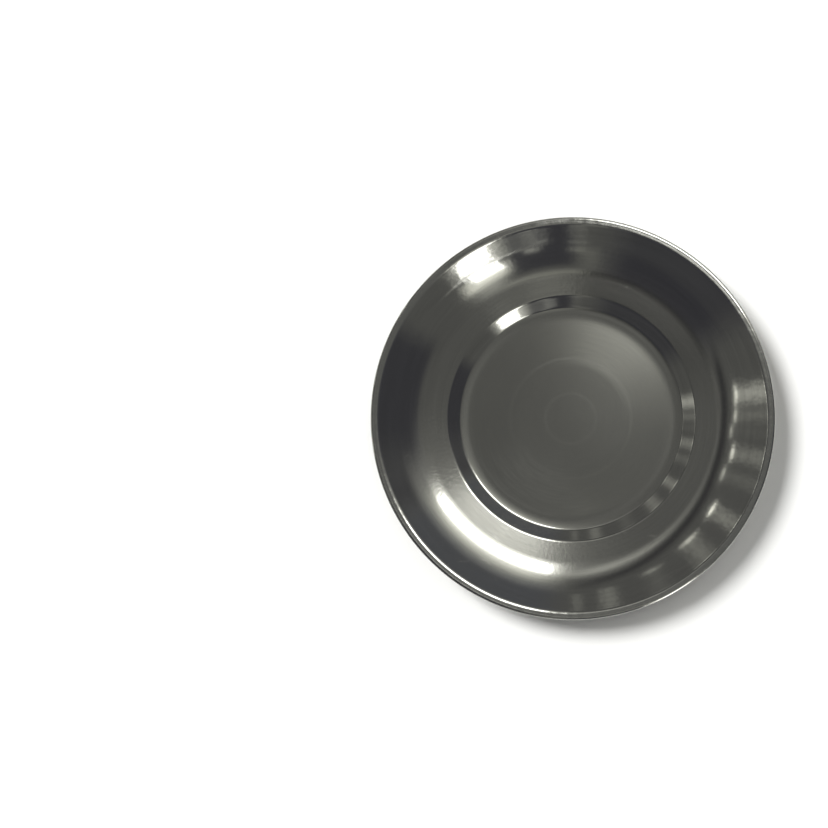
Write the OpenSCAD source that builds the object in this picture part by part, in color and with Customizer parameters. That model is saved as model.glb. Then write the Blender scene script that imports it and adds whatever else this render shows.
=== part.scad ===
// Pressed stainless-steel side plate. One round blank is drawn into a flat well, a
// step, a ledge and a dished wall, and its edge is rolled under into a hollow bead.
// The origin is the centre of the face that rests on the table, and +Z is up.

/* [Plate] */
// Diameter over the rolled rim
plate_d = 180; // [174:1:196]
// Height from the table to the top of the rim
plate_h = 18; // [16:0.5:20]
// Thickness of the steel sheet
sheet_t = 0.5; // [0.4:0.1:0.8]

/* [Well] */
// Height of the step from the floor up to the ledge
step_h = 4.5; // [2.5:0.1:6]
// Slope of the step, in degrees above level
step_slope = 40; // [32:1:48]
// Radius of the bend at the foot of the step, to the middle of the sheet
step_foot_r = 3.5; // [1.5:0.1:5]
// Radius of the bend at the top of the step, to the middle of the sheet
step_top_r = 3; // [1.5:0.1:4]

/* [Ledge and wall] */
// Width of the ledge between the step and the wall, along its slope
ledge_w = 8.4; // [4:0.2:16]
// Slope of the ledge, in degrees above level
ledge_slope = 6; // [2:1:8]
// Radius of the bend that dishes the ledge up into the wall, to the middle of the sheet
wall_bend_r = 28.5; // [18:0.5:32]
// Slope of the straight upper part of the wall, in degrees above level
wall_slope = 40; // [36:1:46]

/* [Rim] */
// Radius of the bend where the wall turns over into the rim, to the middle of the sheet
rim_shoulder_r = 2.3; // [1:0.1:3]
// Width of the flat on top of the rim
rim_flat_w = 1; // [0.4:0.1:1.6]
// Radius of the rolled bead, to the middle of the sheet
bead_r = 1.2; // [0.9:0.1:1.8]
// How far round the edge is rolled under, in degrees
bead_turn = 265; // [180:5:265]

/* [Hidden] */

// Smoothness: an arc gets a point at least every arc_turn degrees and every arc_run of its length
arc_turn = 5;
arc_run = 1.2;
steel_colour = [0.52, 0.52, 0.50];

// A pose on the sheet's middle line is [radius from the axis, height, heading above level].
// One straight run or one bend leads from a pose to the next, so the sheet is never kinked.
function run(at, length) = [[
    at[0] + length * cos(at[2]),
    at[1] + length * sin(at[2]),
    at[2]
]];

// A bend of radius r turns up for a turn above zero and down for a turn below it
function turned(at, r, turn) = let (side = sign(turn)) [
    at[0] + side * r * (sin(at[2] + turn) - sin(at[2])),
    at[1] - side * r * (cos(at[2] + turn) - cos(at[2])),
    at[2] + turn
];
function bend(at, r, turn) = let (
    arc_length = r * abs(turn) * PI / 180,
    steps = ceil(max(abs(turn) / arc_turn, arc_length / arc_run))
) [for (i = [1 : steps]) turned(at, r, turn * i / steps)];

function end_of(poses) = poses[len(poses) - 1];

// How far each stretch climbs. The wall's straight part takes what the others leave of
// the plate's height, and the step's straight part what its two bends leave of its own.
step_bends_rise = step_foot_r * (1 - cos(step_slope))
    + step_top_r * (cos(ledge_slope) - cos(step_slope));
step_face_rise = step_h - step_bends_rise;
ledge_rise = ledge_w * sin(ledge_slope);
wall_bend_rise = wall_bend_r * (cos(ledge_slope) - cos(wall_slope));
rim_shoulder_rise = rim_shoulder_r * (1 - cos(wall_slope));
wall_rise = plate_h - sheet_t - step_h - ledge_rise - wall_bend_rise - rim_shoulder_rise;

// How far each stretch reaches outwards. The flat floor takes what they leave of the
// plate's diameter.
step_reach = step_foot_r * sin(step_slope)
    + step_face_rise / tan(step_slope)
    + step_top_r * (sin(step_slope) - sin(ledge_slope));
ledge_reach = ledge_w * cos(ledge_slope);
wall_bend_reach = wall_bend_r * (sin(wall_slope) - sin(ledge_slope));
wall_reach = wall_rise / tan(wall_slope);
rim_reach = rim_shoulder_r * sin(wall_slope) + rim_flat_w + bead_r + sheet_t / 2;
floor_r = plate_d / 2 - step_reach - ledge_reach - wall_bend_reach - wall_reach - rim_reach;

// The middle line's poses, from the axis out to the raw edge inside the bead
floor_middle = [0, sheet_t / 2, 0];
floor_edge = run(floor_middle, floor_r);
step_foot = bend(end_of(floor_edge), step_foot_r, step_slope);
step_face = run(end_of(step_foot), step_face_rise / sin(step_slope));
step_top = bend(end_of(step_face), step_top_r, ledge_slope - step_slope);
ledge = run(end_of(step_top), ledge_w);
wall_bend = bend(end_of(ledge), wall_bend_r, wall_slope - ledge_slope);
wall = run(end_of(wall_bend), wall_rise / sin(wall_slope));
rim_shoulder = bend(end_of(wall), rim_shoulder_r, -wall_slope);
rim_flat = run(end_of(rim_shoulder), rim_flat_w);
bead = bend(end_of(rim_flat), bead_r, -bead_turn);

middle_line = concat(
    [floor_middle], floor_edge, step_foot, step_face, step_top,
    ledge, wall_bend, wall, rim_shoulder, rim_flat, bead
);

// The sheet's two faces lie half its thickness to each side of the middle line
function face(poses, side) = [
    for (p = poses) [p[0], p[1]] + side * sheet_t / 2 * [-sin(p[2]), cos(p[2])]
];
function backwards(points) = [for (i = [len(points) - 1 : -1 : 0]) points[i]];

// The plate, turned from the section of its sheet
module plate() {
    color(steel_colour)
    rotate_extrude($fn = 180)
    polygon(concat(face(middle_line, 1), backwards(face(middle_line, -1))));
}

plate();
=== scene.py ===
# Side plate of pressed stainless steel. Lengths are in metres and angles in degrees,
# unless a name or a comment says otherwise.
import math

import bpy
from mathutils import Matrix, Vector


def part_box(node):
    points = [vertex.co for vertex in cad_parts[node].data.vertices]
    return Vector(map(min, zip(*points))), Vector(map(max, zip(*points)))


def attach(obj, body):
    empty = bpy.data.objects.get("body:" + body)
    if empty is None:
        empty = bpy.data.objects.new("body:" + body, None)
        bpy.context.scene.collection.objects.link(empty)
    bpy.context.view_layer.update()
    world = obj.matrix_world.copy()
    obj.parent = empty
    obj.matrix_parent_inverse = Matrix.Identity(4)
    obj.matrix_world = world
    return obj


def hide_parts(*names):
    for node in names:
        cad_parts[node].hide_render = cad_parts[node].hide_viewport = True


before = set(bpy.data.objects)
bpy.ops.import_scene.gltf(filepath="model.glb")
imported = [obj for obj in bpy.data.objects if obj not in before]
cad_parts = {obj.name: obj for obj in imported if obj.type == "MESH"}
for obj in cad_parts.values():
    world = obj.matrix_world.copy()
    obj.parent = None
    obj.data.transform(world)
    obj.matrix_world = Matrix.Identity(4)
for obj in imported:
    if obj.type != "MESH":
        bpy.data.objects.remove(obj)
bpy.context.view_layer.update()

# The plate is one round blank of stainless-steel sheet. A press draws it into a flat well, a step,
# a ledge and a dished wall, and its edge is rolled under into a hollow bead. Rolling leaves a faint
# crease round the top of the rim.
mm = 0.001
plate_low, plate_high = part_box("plate")
plate_r = (plate_high.x - plate_low.x) / 2
plate_h = plate_high.z - plate_low.z
sheet_t = 0.5 * mm

# The well's floor is pressed a hair's breadth up in its middle, and lifts gently before the step
floor_crown_w = 24 * mm
floor_fall = 0.7
floor_fall_w = 2 * mm
floor_lift = 5
floor_lift_w = 6 * mm

# The step, the ledge, and the wall with the faint ridge where its bend ends
step_h = 4.5 * mm
step_slope = 40
step_foot_r = 2.2 * mm
step_top_r = 2 * mm
ledge_w = 8.4 * mm
ledge_slope = 6
wall_bend_r = 28.5 * mm
wall_ridge = 2.5
wall_ridge_r = 8 * mm
wall_slope = 40

# The rim's shoulder and top, its crease, its crown, and the bead with its oval nose
rim_shoulder_r = 2.3 * mm
rim_top_slope = 1.5
rim_top_w = 0.85 * mm
crease_r = 1.5 * mm
crease_climb = 5
crease_w = 0.2 * mm
crown_r = 1.75 * mm
crown_fall = 15
nose_r = 0.6 * mm
bead_r = 1.2 * mm
bead_turn = 265

# How finely the sheet is drawn, and how sharp an edge still looks smooth
coarsest_turn = 4
coarsest_step = 1.1 * mm
spin_steps = 300
weld_gap = 0.02 * mm
sharpest_smooth_turn = 40


def sine(degrees):
    return math.sin(math.radians(degrees))


def cosine(degrees):
    return math.cos(math.radians(degrees))


def run(length, rings):
    """Draws the section of the sheet straight on, with closer rings near both ends."""
    ahead = Vector((cosine(drawn["heading"]), 0, sine(drawn["heading"])))
    for i in range(rings):
        share = (cosine(180 * i / rings) - cosine(180 * (i + 1) / rings)) / 2
        bpy.ops.mesh.extrude_region_move(TRANSFORM_OT_translate={"value": ahead * length * share})
    drawn["radius"] += length * ahead.x
    drawn["height"] += length * ahead.z


def bend(radius, turn):
    """Draws the section round an arc, up for a turn above zero and down for one below it."""
    side = math.copysign(1, turn)
    centre_x = drawn["radius"] - side * radius * sine(drawn["heading"])
    centre_z = drawn["height"] + side * radius * cosine(drawn["heading"])
    rings = math.ceil(max(abs(turn) / coarsest_turn, radius * math.radians(abs(turn)) / coarsest_step))
    bpy.ops.mesh.spin(
        steps=rings, angle=math.radians(abs(turn)), center=(centre_x, 0, centre_z), axis=(0, side, 0)
    )
    drawn["heading"] += turn
    drawn["radius"] = centre_x + side * radius * sine(drawn["heading"])
    drawn["height"] = centre_z - side * radius * cosine(drawn["heading"])


def reach(radius, start, end):
    """How far a bend between two headings goes outwards."""
    return radius * abs(sine(end) - sine(start))


def rise(radius, start, end):
    """How far a bend between two headings goes up."""
    return math.copysign(radius, end - start) * (cosine(start) - cosine(end))


# The floor falls and lifts on the radii that its two widths leave
fall_r = floor_fall_w / sine(floor_fall)
lift_r = floor_lift_w / (sine(floor_fall) + sine(floor_lift))

# The straight stretches take what the bends leave them. The step's and the wall's take the height.
step_run = (
    step_h - rise(lift_r, 0, floor_lift) - rise(step_foot_r, floor_lift, step_slope)
    - rise(step_top_r, step_slope, ledge_slope)
) / sine(step_slope)
wall_run = (
    plate_h - sheet_t - step_h - ledge_w * sine(ledge_slope)
    - rise(wall_bend_r, ledge_slope, wall_slope + wall_ridge)
    - rise(wall_ridge_r, wall_slope + wall_ridge, wall_slope)
    - rise(rim_shoulder_r, wall_slope, rim_top_slope) - rim_top_w * sine(rim_top_slope)
    - rise(crease_r, rim_top_slope, crease_climb) - crease_w * sine(crease_climb)
    - rise(crown_r, crease_climb, 0)
) / sine(wall_slope)

# The floor's takes the radius, which is counted from the nose of the bead inwards
rim_start = plate_r - sheet_t / 2 - (
    reach(nose_r, -crown_fall, -90) + reach(crown_r, crease_climb, -crown_fall)
    + crease_w * cosine(crease_climb) + reach(crease_r, rim_top_slope, crease_climb)
    + rim_top_w * cosine(rim_top_slope) + reach(rim_shoulder_r, wall_slope, rim_top_slope)
)
step_end = rim_start - (
    wall_run * cosine(wall_slope) + reach(wall_ridge_r, wall_slope + wall_ridge, wall_slope)
    + reach(wall_bend_r, ledge_slope, wall_slope + wall_ridge) + ledge_w * cosine(ledge_slope)
)
floor_run = step_end - (
    reach(step_top_r, step_slope, ledge_slope) + step_run * cosine(step_slope)
    + reach(step_foot_r, floor_lift, step_slope)
    + floor_crown_w + floor_fall_w + floor_lift_w
)

# The drawing follows the middle of the sheet. It starts on the axis, as far up as the floor then
# falls to where it meets the table.
floor_rise = rise(fall_r + lift_r, 0, floor_fall) + floor_run * sine(floor_fall)
drawn = {"radius": 0, "height": sheet_t / 2 + floor_rise, "heading": 0}

bpy.ops.object.select_all(action="DESELECT")
bpy.ops.mesh.primitive_plane_add(size=sheet_t, location=(0, 0, drawn["height"]))
plate = bpy.context.object
plate.name = plate.data.name = "pressed_plate"
bpy.ops.object.transform_apply(location=True)
bpy.ops.object.mode_set(mode="EDIT")
bpy.ops.mesh.select_all(action="SELECT")
bpy.ops.mesh.merge(type="CENTER")
run(floor_crown_w, rings=8)
bend(fall_r, -floor_fall)
run(floor_run, rings=5)
bend(lift_r, floor_fall + floor_lift)
well_r = drawn["radius"]
bend(step_foot_r, step_slope - floor_lift)
run(step_run, rings=4)
bend(step_top_r, ledge_slope - step_slope)
run(ledge_w, rings=8)
bend(wall_bend_r, wall_slope + wall_ridge - ledge_slope)
bend(wall_ridge_r, -wall_ridge)
run(wall_run, rings=8)
bend(rim_shoulder_r, rim_top_slope - wall_slope)
run(rim_top_w, rings=4)
bend(crease_r, crease_climb - rim_top_slope)
run(crease_w, rings=2)
bend(crown_r, -crease_climb - crown_fall)
bend(nose_r, crown_fall - 90)
bend(bead_r, 90 - bead_turn)
bpy.ops.mesh.select_all(action="SELECT")
bpy.ops.mesh.spin(steps=spin_steps, angle=math.tau, center=(0, 0, 0), axis=(0, 0, 1))
bpy.ops.mesh.select_all(action="SELECT")
bpy.ops.mesh.remove_doubles(threshold=weld_gap)
bpy.ops.mesh.normals_make_consistent(inside=False)
bpy.ops.object.mode_set(mode="OBJECT")

thickness = plate.modifiers.new("sheet thickness", "SOLIDIFY")
thickness.thickness = sheet_t
thickness.offset = 0
thickness.use_even_offset = True
bpy.ops.object.modifier_apply(modifier=thickness.name)
bpy.ops.object.shade_smooth_by_angle(angle=math.radians(sharpest_smooth_turn))


def linear(hex_colour):
    """The linear colour of an sRGB hex value."""
    parts = [int(hex_colour[i:i + 2], 16) / 255 for i in (1, 3, 5)]
    return [p / 12.92 if p <= 0.04045 else ((p + 0.055) / 1.055) ** 2.4 for p in parts] + [1]


def add_node(tree, kind, settings=None, **links):
    """Adds a node. Each input, given by name or by _ and its number, gets a value or a link."""
    added = tree.nodes.new(kind)
    for name, value in (settings or {}).items():
        setattr(added, name, value)
    for name, value in links.items():
        number = name.removeprefix("_")
        socket = added.inputs[int(number) if number.isdigit() else name.replace("_", " ")]
        if isinstance(value, bpy.types.NodeSocket):
            tree.links.new(value, socket)
        else:
            socket.default_value = value
    return added


def new_material(name):
    """A material, its node tree and the Principled shader that the tree ends in."""
    material = bpy.data.materials.new(name)
    material.use_nodes = True
    return material, material.node_tree, material.node_tree.nodes["Principled BSDF"]


def turned_place(tree):
    """Where a point lies on a turned piece: its place, its place seen flat, and its radius."""
    place = add_node(tree, "ShaderNodeTexCoord").outputs["Object"]
    flat = add_node(
        tree, "ShaderNodeVectorMath", {"operation": "MULTIPLY"}, _0=place, _1=(1, 1, 0)
    ).outputs["Vector"]
    radius = add_node(tree, "ShaderNodeVectorMath", {"operation": "LENGTH"}, _0=flat).outputs["Value"]
    return place, flat, radius


def lathe_lines(tree, flat, radius, spacing, length):
    """Noise drawn out into lines round the axis, a spacing apart, which fade in and out in a length."""
    line_number = add_node(tree, "ShaderNodeMath", {"operation": "DIVIDE"}, _0=radius, _1=spacing)
    across = add_node(tree, "ShaderNodeCombineXYZ", Z=line_number.outputs["Value"])
    point = add_node(
        tree, "ShaderNodeVectorMath", {"operation": "MULTIPLY_ADD"},
        _0=flat, _1=(1 / length, 1 / length, 0), _2=across.outputs["Vector"],
    )
    lines = add_node(
        tree, "ShaderNodeTexNoise", Vector=point.outputs["Vector"], Scale=1, Detail=2, Roughness=0.6
    )
    return lines.outputs["Fac"]


def near(tree, value, middle, fade, strength):
    """The strength where a value is at its middle, fading to zero where it is a fade away."""
    past = add_node(tree, "ShaderNodeMath", {"operation": "SUBTRACT"}, _0=value, _1=middle)
    away = add_node(tree, "ShaderNodeMath", {"operation": "ABSOLUTE"}, _0=past.outputs["Value"])
    nearness = add_node(
        tree, "ShaderNodeMapRange", {"interpolation_type": "SMOOTHSTEP"},
        _0=away.outputs["Value"], _1=fade, _2=0, _3=0, _4=strength,
    )
    return nearness.outputs["Result"]


# Its ledge, wall and rim are stainless steel polished on a lathe, so the finest grooves run round
# the axis. The eye sees highlights with crisp sides and soft, drawn-out ends that point at the axis.
polished_colour = "#adada6"
lathe_stretch = 0.8
finest_polish = 0.105
coarsest_polish = 0.14

# Grooves 0.6 mm apart in bands of 2.5 mm, some ten times too coarse, or they wouldn't show
groove_spacing = 0.6 * mm
groove_length = 22 * mm
band_spacing = 2.5 * mm
band_length = 45 * mm
groove_depth = 0.004 * mm
groove_colour = "#9f9f99"
shallowest_groove = 0.7
deepest_groove = 1.3

# The drawn sheet's orange peel, a mottle of 1.6 mm, and soft dents of 3.8 mm high on the wall
peel_size = 1.6 * mm
peel_depth = 0.009 * mm
dent_size = 3.8 * mm
dent_depth = 0.036 * mm
dents_start = 72 * mm
dents_end = 79 * mm

# Faint stains, and the rim, which is buffed lighter but less finely
stain_size = 14 * mm
stain_detail = 3
stain_colour = "#a5a59f"
rim_polish_start = plate_r - 4 * mm
rim_polish_end = plate_r - 3.2 * mm
rim_haze = 0.01
rim_colour = "#b2b2ac"

# A mark along the wall, where the polishing wheel slipped
wheel_mark_r = 79.3 * mm
wheel_mark_w = 1 * mm
wheel_mark_azimuth = 118
wheel_mark_half_turn = 24
wheel_mark_full_half_turn = 12
wheel_mark_haze = 0.13

# Hairline scratches in some of the bands, drawn 0.2 mm wide, far wider than real ones, to show
scratch_length = 80 * mm
scratch_spacing = 26 * mm
scratch_way = 35
scratch_middle = 0.5
scratch_edge = 0.003
scratch_haze = 0.12
scratched_band_start = 0.52
scratched_band_end = 0.62

polished, tree, shader = new_material("lathe-polished stainless steel")
place, flat, radius = turned_place(tree)
grooves = lathe_lines(tree, flat, radius, groove_spacing, groove_length)
bands = lathe_lines(tree, flat, radius, band_spacing, band_length)
lines = add_node(tree, "ShaderNodeMath", {"operation": "ADD"}, _0=grooves, _1=bands).outputs["Value"]
in_groove = add_node(
    tree, "ShaderNodeMapRange", _0=lines, _1=shallowest_groove, _2=deepest_groove
).outputs["Result"]
grooved_roughness = add_node(
    tree, "ShaderNodeMapRange", _0=in_groove, _3=finest_polish, _4=coarsest_polish
).outputs["Result"]
on_rim = add_node(
    tree, "ShaderNodeMapRange", {"interpolation_type": "SMOOTHSTEP"},
    _0=radius, _1=rim_polish_start, _2=rim_polish_end,
).outputs["Result"]
rim_roughness = add_node(
    tree, "ShaderNodeMath", {"operation": "MULTIPLY_ADD"}, _0=on_rim, _1=rim_haze, _2=grooved_roughness
).outputs["Value"]

outwards = add_node(tree, "ShaderNodeVectorMath", {"operation": "NORMALIZE"}, _0=flat).outputs["Vector"]
mark_way = (cosine(wheel_mark_azimuth), sine(wheel_mark_azimuth), 0)
towards_mark = add_node(
    tree, "ShaderNodeVectorMath", {"operation": "DOT_PRODUCT"}, _0=outwards, _1=mark_way
).outputs["Value"]
in_mark_turn = add_node(
    tree, "ShaderNodeMapRange", {"interpolation_type": "SMOOTHSTEP"},
    _0=towards_mark, _1=cosine(wheel_mark_half_turn), _2=cosine(wheel_mark_full_half_turn),
).outputs["Result"]
mark_ring = near(tree, radius, wheel_mark_r, wheel_mark_w, wheel_mark_haze)
marked_roughness = add_node(
    tree, "ShaderNodeMath", {"operation": "MULTIPLY_ADD"}, _0=mark_ring, _1=in_mark_turn, _2=rim_roughness
).outputs["Value"]

combed = add_node(
    tree, "ShaderNodeMapping", {"vector_type": "TEXTURE"}, Vector=place,
    Rotation=(0, 0, math.radians(scratch_way)), Scale=(scratch_length, scratch_spacing, scratch_spacing),
)
hair = add_node(tree, "ShaderNodeTexNoise", Vector=combed.outputs["Vector"], Scale=1, Detail=0)
hairlines = near(tree, hair.outputs["Fac"], scratch_middle, scratch_edge, scratch_haze)
in_scratched_band = add_node(
    tree, "ShaderNodeMapRange", _0=bands, _1=scratched_band_start, _2=scratched_band_end
).outputs["Result"]
scratched_roughness = add_node(
    tree, "ShaderNodeMath", {"operation": "MULTIPLY_ADD"},
    _0=hairlines, _1=in_scratched_band, _2=marked_roughness,
)
tree.links.new(scratched_roughness.outputs["Value"], shader.inputs["Roughness"])

peel = add_node(tree, "ShaderNodeTexNoise", Vector=place, Scale=1 / peel_size, Detail=2)
peeled = add_node(tree, "ShaderNodeBump", Strength=1, Distance=peel_depth, Height=peel.outputs["Fac"])
high_on_wall = add_node(
    tree, "ShaderNodeMapRange", {"interpolation_type": "SMOOTHSTEP"},
    _0=radius, _1=dents_start, _2=dents_end,
).outputs["Result"]
dents = add_node(tree, "ShaderNodeTexNoise", Vector=place, Scale=1 / dent_size, Detail=1)
wall_dents = add_node(
    tree, "ShaderNodeMath", {"operation": "MULTIPLY"}, _0=dents.outputs["Fac"], _1=high_on_wall
).outputs["Value"]
dented = add_node(
    tree, "ShaderNodeBump", Strength=1,
    Distance=dent_depth, Height=wall_dents, Normal=peeled.outputs["Normal"],
)
grooved = add_node(
    tree, "ShaderNodeBump", Strength=1,
    Distance=groove_depth, Height=lines, Normal=dented.outputs["Normal"],
)
tree.links.new(grooved.outputs["Normal"], shader.inputs["Normal"])

stains = add_node(tree, "ShaderNodeTexNoise", Vector=place, Scale=1 / stain_size, Detail=stain_detail)
stained = add_node(
    tree, "ShaderNodeMix", {"data_type": "RGBA"},
    _0=stains.outputs["Fac"], _6=linear(polished_colour), _7=linear(stain_colour),
).outputs["Result"]
grooved_colour = add_node(
    tree, "ShaderNodeMix", {"data_type": "RGBA"}, _0=in_groove, _6=stained, _7=linear(groove_colour)
).outputs["Result"]
steel_colour = add_node(
    tree, "ShaderNodeMix", {"data_type": "RGBA"}, _0=on_rim, _6=grooved_colour, _7=linear(rim_colour)
).outputs["Result"]
tree.links.new(steel_colour, shader.inputs["Base Color"])
shader.inputs["Metallic"].default_value = 1
shader.inputs["Anisotropic"].default_value = lathe_stretch
tree.links.new(outwards, shader.inputs["Tangent"])
plate.data.materials.append(polished)

# The floor of its well is the same steel buffed to a satin, which spreads light evenly. The buffing
# marks are arcs 0.8 mm apart, again drawn coarser than real ones, and two rings are buffed less finely.
satin_colour = "#b0b0a8"
satin_stain_colour = "#a7a7a0"
finest_satin = 0.095
coarsest_satin = 0.112
arc_spacing = 0.8 * mm
arc_length = 9 * mm
arc_depth = 0.002 * mm
arc_colour = "#a8a8a1"
shallowest_arc = 0.35
deepest_arc = 0.65
satin_rings = (11.5 * mm, 27.5 * mm)
satin_ring_w = 1.2 * mm
satin_ring_haze = 0.05

satin, tree, shader = new_material("satin stainless steel")
place, flat, radius = turned_place(tree)
arcs = lathe_lines(tree, flat, radius, arc_spacing, arc_length)
in_arc = add_node(
    tree, "ShaderNodeMapRange", _0=arcs, _1=shallowest_arc, _2=deepest_arc
).outputs["Result"]
satin_roughness = add_node(
    tree, "ShaderNodeMapRange", _0=in_arc, _3=finest_satin, _4=coarsest_satin
).outputs["Result"]
for ring_r in satin_rings:
    on_ring = near(tree, radius, ring_r, satin_ring_w, satin_ring_haze)
    satin_roughness = add_node(
        tree, "ShaderNodeMath", {"operation": "MULTIPLY_ADD"}, _0=on_ring, _1=arcs, _2=satin_roughness
    ).outputs["Value"]
tree.links.new(satin_roughness, shader.inputs["Roughness"])
buffed = add_node(tree, "ShaderNodeBump", Strength=1, Distance=arc_depth, Height=arcs)
tree.links.new(buffed.outputs["Normal"], shader.inputs["Normal"])
stains = add_node(tree, "ShaderNodeTexNoise", Vector=place, Scale=1 / stain_size, Detail=stain_detail)
stained_satin = add_node(
    tree, "ShaderNodeMix", {"data_type": "RGBA"},
    _0=stains.outputs["Fac"], _6=linear(satin_colour), _7=linear(satin_stain_colour),
).outputs["Result"]
buffed_colour = add_node(
    tree, "ShaderNodeMix", {"data_type": "RGBA"}, _0=in_arc, _6=stained_satin, _7=linear(arc_colour)
).outputs["Result"]
tree.links.new(buffed_colour, shader.inputs["Base Color"])
shader.inputs["Metallic"].default_value = 1
plate.data.materials.append(satin)

# Its underside keeps the dull finish of the rolling mill, with faint lines along the sheet's length.
# They are drawn 0.5 mm apart, far coarser than rolled ones, so that they show.
mill_colour = "#a0a09a"
finest_mill = 0.34
coarsest_mill = 0.46
mill_line_spacing = 0.5 * mm
mill_line_length = 30 * mm
mill_line_depth = 0.003 * mm
shallowest_mill_line = 0.3
deepest_mill_line = 0.7

mill, tree, shader = new_material("mill-finished stainless steel")
place = add_node(tree, "ShaderNodeTexCoord").outputs["Object"]
stretched = add_node(
    tree, "ShaderNodeMapping", Vector=place,
    Scale=(1 / mill_line_length, 1 / mill_line_spacing, 1 / mill_line_spacing),
)
mill_lines = add_node(
    tree, "ShaderNodeTexNoise", Vector=stretched.outputs["Vector"], Scale=1, Detail=3
).outputs["Fac"]
mill_roughness = add_node(
    tree, "ShaderNodeMapRange",
    _0=mill_lines, _1=shallowest_mill_line, _2=deepest_mill_line, _3=finest_mill, _4=coarsest_mill,
)
tree.links.new(mill_roughness.outputs["Result"], shader.inputs["Roughness"])
rolled = add_node(tree, "ShaderNodeBump", Strength=1, Distance=mill_line_depth, Height=mill_lines)
tree.links.new(rolled.outputs["Normal"], shader.inputs["Normal"])
shader.inputs["Base Color"].default_value = linear(mill_colour)
shader.inputs["Metallic"].default_value = 1
plate.data.materials.append(mill)

# The satin ends at the step's foot, and the mill finish at the bead, which is polished all round
mill_r = plate_r - 2 * bead_r - sheet_t
satin_index = plate.material_slots.find(satin.name)
mill_index = plate.material_slots.find(mill.name)
for face in plate.data.polygons:
    face_r = face.center.xy.length
    if face.normal.z > 0 and face_r < well_r:
        face.material_index = satin_index
    elif face.normal.z < 0 and face_r < mill_r:
        face.material_index = mill_index

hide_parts("plate")
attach(plate, "root")

# The plate stands on a flat sheet of matt white paper, which shows its soft shadow and no shine.
# The sheet is drawn far wider than a real one, so that its edge lies far from the plate.
paper_w = 80
paper_colour = "#f7f7f5"
paper_roughness = 0.9
paper_specular = 0.2

bpy.ops.object.select_all(action="DESELECT")
bpy.ops.mesh.primitive_plane_add(size=paper_w, location=(0, 0, 0))
floor = bpy.context.object
floor.name = floor.data.name = "floor"
paper, tree, shader = new_material("matt white paper")
shader.inputs["Base Color"].default_value = linear(paper_colour)
shader.inputs["Roughness"].default_value = paper_roughness
shader.inputs["Specular IOR Level"].default_value = paper_specular
floor.data.materials.append(paper)

# The plate is lit by a tall soft box and a smaller one low across from it, which show only in the
# steel, and by a softer light from the upper left, which only the paper shows.

# The watts that give a square metre of soft box a radiance of one
watts_per_radiance = 4


def panel(name, azimuth, distance, low, high, width, radiance, lean=0):
    """A soft box that stands upright and faces the axis, from one height to another."""
    data = bpy.data.lights.new(name, "AREA")
    data.shape = "RECTANGLE"
    data.size = width
    data.size_y = high - low
    data.energy = watts_per_radiance * width * (high - low) * radiance
    lamp = bpy.data.objects.new(name, data)
    lamp.location = (distance * cosine(azimuth), distance * sine(azimuth), (low + high) / 2)
    lamp.rotation_euler = (math.radians(90), math.radians(lean), math.radians(azimuth + 90))
    lamp.visible_camera = False
    lamp.visible_diffuse = False
    bpy.context.scene.collection.objects.link(lamp)


panel("key soft box", azimuth=57, distance=0.5, low=0.98, high=2.45, width=0.47, radiance=4.5)
panel("low soft box", azimuth=-59.6, distance=1, low=0.235, high=1, width=0.2, radiance=3, lean=-5)

fill_level = 3.45
fill_width = 22
fill_from = Vector((-0.66, 0.55, 1))
fill = bpy.data.lights.new("fill", "SUN")
fill.energy = fill_level
fill.angle = math.radians(fill_width)
fill_lamp = bpy.data.objects.new("fill", fill)
fill_lamp.rotation_euler = fill_from.to_track_quat("Z", "Y").to_euler()
fill_lamp.visible_glossy = False
bpy.context.scene.collection.objects.link(fill_lamp)

# Round them is a dim room, which the steel mirrors: a level of light with brighter and darker
# patches, each with soft edges. A patch is placed by its azimuth and by its angle from straight up.
room_level = 0.17
degree = math.radians(1)

# Azimuths in the room run once round from this one
room_seam = -45

world = bpy.data.worlds.new("dim room")
bpy.context.scene.world = world
world.use_nodes = True
tree = world.node_tree
room_place = add_node(tree, "ShaderNodeTexCoord").outputs["Generated"]
direction = add_node(tree, "ShaderNodeSeparateXYZ", _0=room_place).outputs
turn = add_node(tree, "ShaderNodeMath", {"operation": "ARCTAN2"}, _0=direction["Y"], _1=direction["X"])
from_up = add_node(tree, "ShaderNodeMath", {"operation": "ARCCOSINE"}, _0=direction["Z"]).outputs["Value"]
seam = math.radians(room_seam)
azimuth = add_node(
    tree, "ShaderNodeMath", {"operation": "WRAP"}, _0=turn.outputs["Value"], _1=seam, _2=seam + math.tau
).outputs["Value"]
looked_at = add_node(tree, "ShaderNodeCombineXYZ", X=azimuth, Y=from_up).outputs["Vector"]
glow = add_node(tree, "ShaderNodeCombineXYZ", X=room_level, Y=room_level, Z=room_level).outputs["Vector"]

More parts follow.
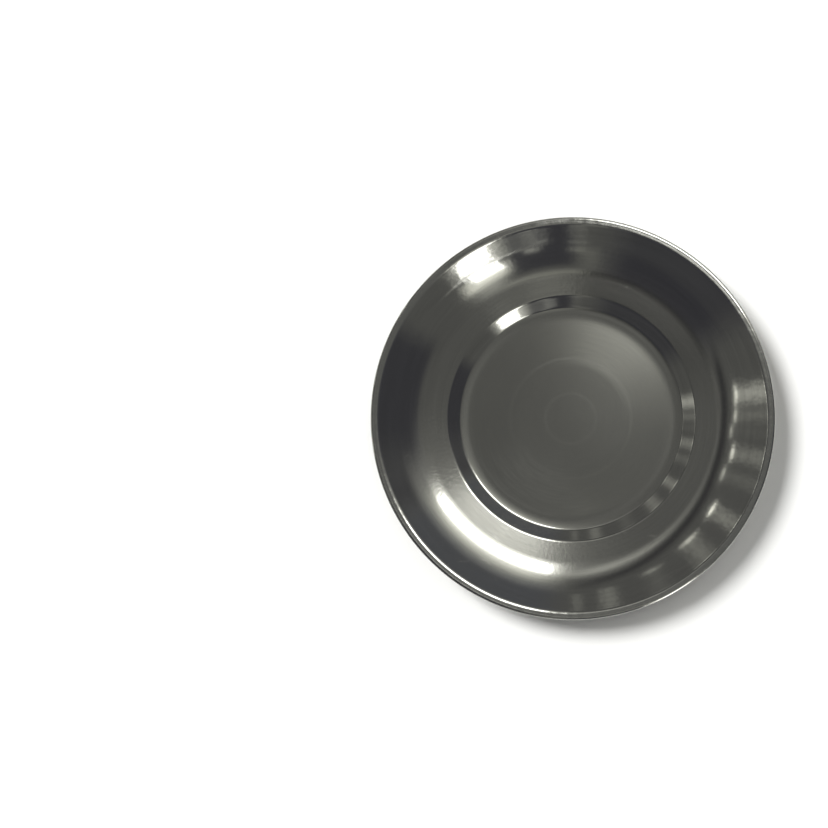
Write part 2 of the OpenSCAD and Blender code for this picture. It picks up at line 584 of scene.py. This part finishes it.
# Each patch: azimuth, half width, top, bottom, light of each colour, softness of sides and of ends
patches = (
    # The walls, mostly darker than the room's level
    (0, 28, 26, 95, (-0.085, -0.085, -0.07), 5, 5),
    (18, 8, 26, 95, (0.04, 0.04, 0.035), 10, 5),
    (-80, 11, 27, 95, (-0.085, -0.085, -0.07), 2, 3),
    (-127, 23, 16, 95, (-0.095, -0.095, -0.08), 8, 6),
    (-127, 25, 62, 95, (0.022, 0.022, 0.02), 8, 8),
    (57, 27, 52, 95, (-0.022, -0.017, 0.006), 6, 8),
    (-120, 42, 6, 18, (-0.08, -0.08, -0.08), 14, 1.5),
    # Nearly straight overhead, where the floor of the well looks
    (62, 25, 2.4, 6.5, (0.15, 0.15, 0.14), 5, 0.8),
    (42, 32, 2.4, 6.5, (0.085, 0.085, 0.08), 18, 0.8),
    (-32, 112, -2, 2.4, (0.04, 0.04, 0.04), 12, 1),
    (-32, 112, -2, 5.2, (0.045, 0.045, 0.045), 12, 1),
    (-120, 27, 2, 5.2, (0.08, 0.08, 0.08), 12, 1),
    # Round the key soft box
    (58, 44, 6, 36, (0.2, 0.2, 0.19), 24, 6),
    (55.5, 22.5, 6, 12, (1, 1, 0.96), 4, 1.5),
    (56.5, 29, 10, 31, (1.2, 1.2, 1.15), 7, 3),
    (57, 25, 22, 44, (1.2, 1.2, 1.12), 9, 12),
    (51, 32, 30, 60, (0.32, 0.32, 0.3), 11, 12),
    # Over the low soft box, round it and beside it
    (-82, 9, 5, 9.5, (0.24, 0.24, 0.225), 4, 1.5),
    (-79, 16, 10.5, 18, (0.34, 0.34, 0.31), 3, 3),
    (-58, 4, 5, 20, (0.17, 0.17, 0.16), 2, 4),
    (-59, 6, 18, 44, (0.5, 0.5, 0.47), 5, 8),
    (-59, 8.5, 35, 60, (1.2, 1.2, 1.1), 3, 6),
    (-59, 7.5, 70, 88, (1.1, 1.1, 1.04), 5, 6),
    (-66, 12, 68, 90, (0.15, 0.15, 0.14), 8, 6),
    (-97, 3, 20, 60, (0.08, 0.08, 0.07), 3, 6),
    (-77, 2.4, 59, 72, (0.4, 0.4, 0.37), 2.2, 4),
    (-80.2, 2.8, 76, 90, (0.4, 0.4, 0.38), 1.5, 2),
    (-92, 2.6, 52, 60, (0.2, 0.2, 0.18), 2, 4),
    (-92, 3, 67, 74, (0.16, 0.16, 0.15), 2, 3),
)
for middle, half_width, top, bottom, colour, soft_sides, soft_ends in patches:
    centre = Vector(((middle - room_seam) % 360 + room_seam, (top + bottom) / 2, 0))
    half = Vector((half_width, (bottom - top) / 2, 0))
    soft = Vector((soft_sides, soft_ends, 0))
    off_centre = add_node(
        tree, "ShaderNodeVectorMath", {"operation": "SUBTRACT"}, _0=looked_at, _1=centre * degree
    )
    away = add_node(
        tree, "ShaderNodeVectorMath", {"operation": "ABSOLUTE"}, _0=off_centre.outputs["Vector"]
    )
    inside = add_node(
        tree, "ShaderNodeMapRange", {"data_type": "FLOAT_VECTOR", "interpolation_type": "SMOOTHSTEP"},
        Vector=away.outputs["Vector"], _7=(half + soft) * degree, _8=(half - soft) * degree,
        _9=(0, 0, 0), _10=(1, 1, 1),
    )
    both_ways = add_node(tree, "ShaderNodeSeparateXYZ", _0=inside.outputs["Vector"]).outputs
    in_patch = add_node(
        tree, "ShaderNodeMath", {"operation": "MULTIPLY"}, _0=both_ways["X"], _1=both_ways["Y"]
    ).outputs["Value"]
    glow = add_node(
        tree, "ShaderNodeVectorMath", {"operation": "MULTIPLY_ADD"}, _0=in_patch, _1=colour, _2=glow
    ).outputs["Vector"]


def round_the_room(stops):
    """Three values by azimuth. Each stop is an azimuth and the three values there, from 0 to 1."""
    along = add_node(tree, "ShaderNodeMapRange", _0=azimuth, _1=seam, _2=seam + math.tau)
    ramp = add_node(tree, "ShaderNodeValToRGB", _0=along.outputs["Result"])
    elements = ramp.color_ramp.elements
    for stop_azimuth, values in stops:
        stop = elements.new((stop_azimuth - room_seam) / 360)
        stop.color = (*values, 1)
    elements.remove(elements[0])
    elements.remove(elements[-1])
    split = add_node(tree, "ShaderNodeSeparateColor", _0=ramp.outputs["Color"]).outputs
    return split["Red"], split["Green"], split["Blue"]


# A row of small distant lamps, each with a soft streak below it: azimuth, half width, angle from
# straight up, and the brightness of the lamp and of its streak
lamps = (
    (92, 2.2, 72, 0.05, 0.2),
    (102, 4, 66, 0.08, 0.25),
    (118, 5, 60, 0.15, 0.06),
    (134, 5, 54, 0.45, 0.25),
    (147, 3.4, 50, 1, 0.36),
    (160, 3, 38, 0.38, 0.12),
    (168, 3.6, 44, 0.65, 0.3),
    (175.5, 2.6, 36, 0.3, 0.05),
    (181, 2.8, 42, 0.5, 0.2),
    (188, 4.4, 48, 0.75, 0.66),
)
lamp_light = 4.6
lamp_colour = (1, 1, 0.93)
lamp_half_h = 4
lamp_core_half_h = 0.5
streak_fade = 6
lamp_stops = []
for lamp_azimuth, half_width, angle, brightness, streak in lamps:
    for to_side, share in ((-half_width, 0), (0, 1), (half_width, 0)):
        lamp_stops.append((lamp_azimuth + to_side, (share * brightness, share * streak, angle / 90)))
lamp_level, streak_level, lamp_angle_share = round_the_room(sorted(lamp_stops))
below = add_node(
    tree, "ShaderNodeMath", {"operation": "MULTIPLY_ADD"}, _0=lamp_angle_share, _1=-math.pi / 2, _2=from_up
).outputs["Value"]
in_lamp = add_node(
    tree, "ShaderNodeMapRange", {"interpolation_type": "SMOOTHSTEP"},
    _0=add_node(tree, "ShaderNodeMath", {"operation": "ABSOLUTE"}, _0=below).outputs["Value"],
    _1=lamp_half_h * degree, _2=lamp_core_half_h * degree, _3=0, _4=lamp_light,
)
in_streak = add_node(
    tree, "ShaderNodeMapRange", {"interpolation_type": "SMOOTHSTEP"}, _0=below, _1=0, _2=streak_fade * degree
)
streaks = add_node(
    tree, "ShaderNodeMath", {"operation": "MULTIPLY"}, _0=in_streak.outputs["Result"], _1=streak_level
)
lamp_row = add_node(
    tree, "ShaderNodeMath", {"operation": "MULTIPLY_ADD"},
    _0=in_lamp.outputs["Result"], _1=lamp_level, _2=streaks.outputs["Value"],
).outputs["Value"]
glow = add_node(
    tree, "ShaderNodeVectorMath", {"operation": "MULTIPLY_ADD"}, _0=lamp_row, _1=lamp_colour, _2=glow
).outputs["Vector"]

# Over that row runs the dark edge of the ceiling, and over it the light that the ceiling catches:
# azimuth, angle from straight up, how dark the edge is, and how light the ceiling
ceiling_edge = (
    (84, 60, 0, 0),
    (92, 54, 0.3, 0.5),
    (100, 46, 0.7, 0.9),
    (116, 38, 1, 1),
    (136, 28.5, 1, 0.5),
    (160, 21, 1, 0.22),
    (176, 22, 1, 0.18),
    (198, 27, 1, 0.15),
    (210, 34, 0, 0),
)
ceiling_colour = (1, 1, 0.95)
edge_half_h = 10
edge_darkness = -0.12
ceiling_light = 0.6
ceiling_middle_share = 0.55
ceiling_fade_share = 0.22
dark_level, light_level, edge_angle_share = round_the_room(
    [(edge_azimuth, (dark, light, angle / 90)) for edge_azimuth, angle, dark, light in ceiling_edge]
)
edge = add_node(
    tree, "ShaderNodeMath", {"operation": "MULTIPLY"}, _0=edge_angle_share, _1=math.pi / 2
).outputs["Value"]
past_edge = add_node(tree, "ShaderNodeMath", {"operation": "SUBTRACT"}, _0=from_up, _1=edge)
in_edge = near(tree, past_edge.outputs["Value"], 0, edge_half_h * degree, edge_darkness)
share_of_edge = add_node(tree, "ShaderNodeMath", {"operation": "DIVIDE"}, _0=from_up, _1=edge)
in_light = near(
    tree, share_of_edge.outputs["Value"], ceiling_middle_share, ceiling_fade_share, ceiling_light
)
darks = add_node(tree, "ShaderNodeMath", {"operation": "MULTIPLY"}, _0=in_edge, _1=dark_level)
ceiling = add_node(
    tree, "ShaderNodeMath", {"operation": "MULTIPLY_ADD"},
    _0=in_light, _1=light_level, _2=darks.outputs["Value"],
).outputs["Value"]
glow = add_node(
    tree, "ShaderNodeVectorMath", {"operation": "MULTIPLY_ADD"}, _0=ceiling, _1=ceiling_colour, _2=glow
).outputs["Vector"]
tree.links.new(glow, tree.nodes["Background"].inputs["Color"])

# The camera hangs straight over the plate, as the photograph's did, and looks a little past it,
# so that the plate lands right of the middle of the frame.
camera_height = 0.75
camera_aim = Vector((-0.0702, 0.002, plate_h))
focal_length_in_mm = 71
sensor_w_in_mm = 36
nearest_seen = 10 * mm

lens = bpy.data.cameras.new("camera")
lens.lens = focal_length_in_mm
lens.sensor_width = sensor_w_in_mm
lens.clip_start = nearest_seen
camera = bpy.data.objects.new("camera", lens)
camera.location = (0, 0, camera_height)
backwards = (camera.location - camera_aim).normalized()
rightwards = Vector((1, 0, 0))
level = (rightwards - backwards * rightwards.dot(backwards)).normalized()
camera.rotation_euler = Matrix((level, backwards.cross(level), backwards)).transposed().to_euler()
bpy.context.scene.collection.objects.link(camera)
bpy.context.scene.camera = camera
bpy.context.scene.view_settings.view_transform = "Standard"
